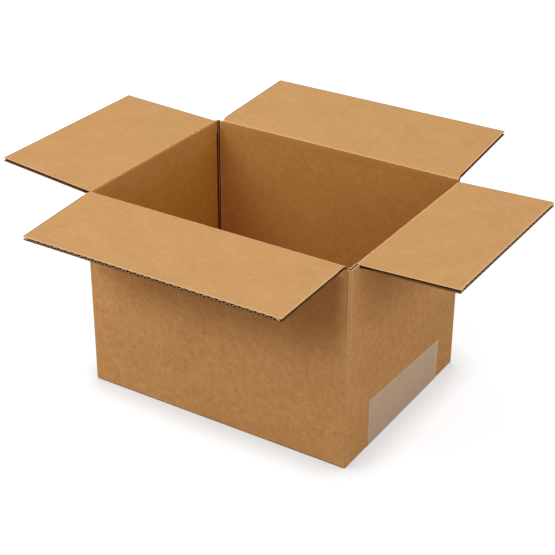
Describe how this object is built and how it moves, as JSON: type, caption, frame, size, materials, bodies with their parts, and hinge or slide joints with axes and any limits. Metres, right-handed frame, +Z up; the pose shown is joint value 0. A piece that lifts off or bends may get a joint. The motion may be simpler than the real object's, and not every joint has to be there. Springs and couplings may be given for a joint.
{
  "type": "open cardboard box",
  "caption": "Open corrugated cardboard shipping box: fluted top flaps hinged on creases and spread outward, a glued corner and a taped bottom.",
  "frame": {"origin": "on the surface that the box stands on, under the middle of its walls", "axes": "+X along the long sides, +Y from the front to the back, +Z up; the glued corner is at -X +Y"},
  "size_m": [0.5202, 0.4523, 0.2296],
  "materials": {
    "kraft_board": "matt unbleached kraft liner",
    "clear_tape": "clear polypropylene film over kraft board"
  },
  "bodies": {
    "carton": {"carton_body": "kraft_board", "bottom_tape": "clear_tape"},
    "front_flap": {"front_flap": "kraft_board"},
    "back_flap": {"back_flap": "kraft_board"},
    "left_flap": {"left_flap": "kraft_board"},
    "right_flap": {"right_flap": "kraft_board"}
  },
  "joints": [
    {"name": "front_flap_crease", "type": "hinge", "parent": "carton", "child": "front_flap", "pos_m": [0, -0.116, 0.2186], "axis": [-1, 0, 0], "range_deg": [-67.5, 182.5]},
    {"name": "back_flap_crease", "type": "hinge", "parent": "carton", "child": "back_flap", "pos_m": [0, 0.116, 0.2186], "axis": [1, 0, 0], "range_deg": [-74, 176]},
    {"name": "left_flap_crease", "type": "hinge", "parent": "carton", "child": "left_flap", "pos_m": [-0.1515, 0, 0.2144], "axis": [0, 1, 0], "range_deg": [-74.1, 175.9]},
    {"name": "right_flap_crease", "type": "hinge", "parent": "carton", "child": "right_flap", "pos_m": [0.1515, 0, 0.2144], "axis": [0, -1, 0], "range_deg": [-72.8, 177.2]}
  ]
}
